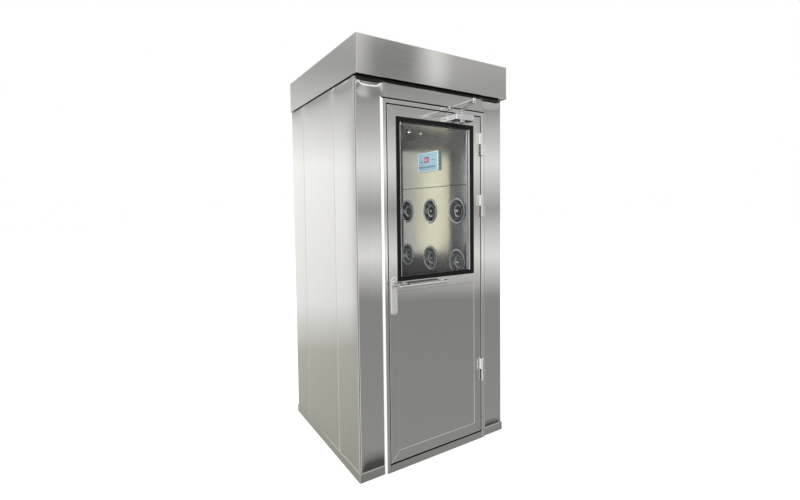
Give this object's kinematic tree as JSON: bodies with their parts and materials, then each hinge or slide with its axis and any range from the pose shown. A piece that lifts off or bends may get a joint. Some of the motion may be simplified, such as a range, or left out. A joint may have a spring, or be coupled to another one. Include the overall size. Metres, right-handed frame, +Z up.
{
  "type": "cleanroom air shower",
  "caption": "Walk-in stainless air shower cabin with a sprung glazed door, wall nozzles, control panel, hood and door closer.",
  "frame": {"origin": "centre of the cabinet's footprint, on the floor under the floor tray", "axes": "+Z up, -Y out of the front door, +X to the right as seen from the front"},
  "size_m": [0.994, 1.534, 2.25],
  "materials": {
    "panel_steel": "satin, grain running up and down",
    "hood_steel": "satin, grain running along the hood",
    "base_steel": "satin",
    "lining_steel": "fine satin",
    "frame_steel": "bright satin",
    "door_steel": "satin",
    "nozzle_chrome": "polished",
    "polished_steel": "polished",
    "seal_rubber": "matt",
    "window_glass": "clear",
    "channel_aluminium": "bright",
    "lamp_cover": "opal",
    "control_face": "printed film",
    "closer_silver": "silver lacquer"
  },
  "bodies": {
    "cabinet": {"floor_tray": "base_steel", "left_plinth": "base_steel", "right_plinth": "base_steel", "left_side_front_panel": "panel_steel", "left_side_middle_panel": "panel_steel", "left_side_rear_panel": "panel_steel", "right_side_front_panel": "panel_steel", "right_side_middle_panel": "panel_steel", "right_side_rear_panel": "panel_steel", "front_left_column": "panel_steel", "front_right_column": "panel_steel", "front_header": "panel_steel", "rear_left_column": "panel_steel", "rear_right_column": "panel_steel", "rear_header": "panel_steel", "roof_deck": "hood_steel", "hood": "hood_steel", "left_nozzle_wall": "lining_steel", "right_nozzle_wall": "lining_steel", "left_upper_wall": "lining_steel", "right_upper_wall": "lining_steel", "left_nozzles": "nozzle_chrome", "right_nozzles": "nozzle_chrome", "ceiling": "lining_steel", "downlight": "lamp_cover", "control_panel": "control_face", "front_frame_left_jamb": "frame_steel", "front_frame_right_jamb": "frame_steel", "front_frame_head": "frame_steel", "front_threshold": "base_steel", "front_door_seal": "seal_rubber", "rear_door_frame": "frame_steel", "rear_threshold": "base_steel", "rear_door_leaf": "door_steel", "rear_window_gasket": "seal_rubber", "rear_window_glass": "window_glass", "rear_door_fittings": "polished_steel", "rear_hinges": "polished_steel", "frame_hinges": "polished_steel", "closer_foot": "closer_silver"},
    "front_door": {"door_left_stile": "door_steel", "door_right_stile": "door_steel", "door_top_rail": "door_steel", "door_middle_rail": "door_steel", "door_bottom_rail": "door_steel", "door_lower_panel": "door_steel", "window_gasket": "seal_rubber", "window_glass": "window_glass", "glazing_channels": "channel_aluminium", "door_hinges": "polished_steel", "lock_plate": "polished_steel", "pull_handle": "polished_steel", "closer_body": "closer_silver"},
    "lever": {"lock_lever": "polished_steel"},
    "main_arm": {"closer_main_arm": "closer_silver"},
    "forearm": {"closer_forearm": "closer_silver"}
  },
  "joints": [
    {"name": "front_door_hinge", "type": "hinge", "parent": "cabinet", "child": "front_door", "pos_m": [0.3155, -0.521, 1], "axis": [0, 0, 1], "range_deg": [0, 90], "stiffness_Nm_per_rad": 8, "springref_deg": -22.92},
    {"name": "lever_turn", "type": "hinge", "parent": "front_door", "child": "lever", "pos_m": [-0.286, -0.541, 1.003], "axis": [0, 1, 0], "range_deg": [0, 45], "stiffness_Nm_per_rad": 1.2, "springref_deg": -28.65},
    {"name": "main_arm_turn", "type": "hinge", "parent": "front_door", "child": "main_arm", "pos_m": [0.139, -0.554, 1.948], "axis": [0, 0, 1], "range_deg": [-150, 2]},
    {"name": "forearm_turn", "type": "hinge", "parent": "cabinet", "child": "forearm", "pos_m": [0.064, -0.544, 1.955], "axis": [0, 0, 1], "range_deg": [-2, 25]}
  ],
  "couplings": [
    {"joint": "main_arm_turn", "follows": "front_door_hinge", "ratio": -1.6185},
    {"joint": "forearm_turn", "follows": "front_door_hinge", "ratio": 0.2397}
  ]
}
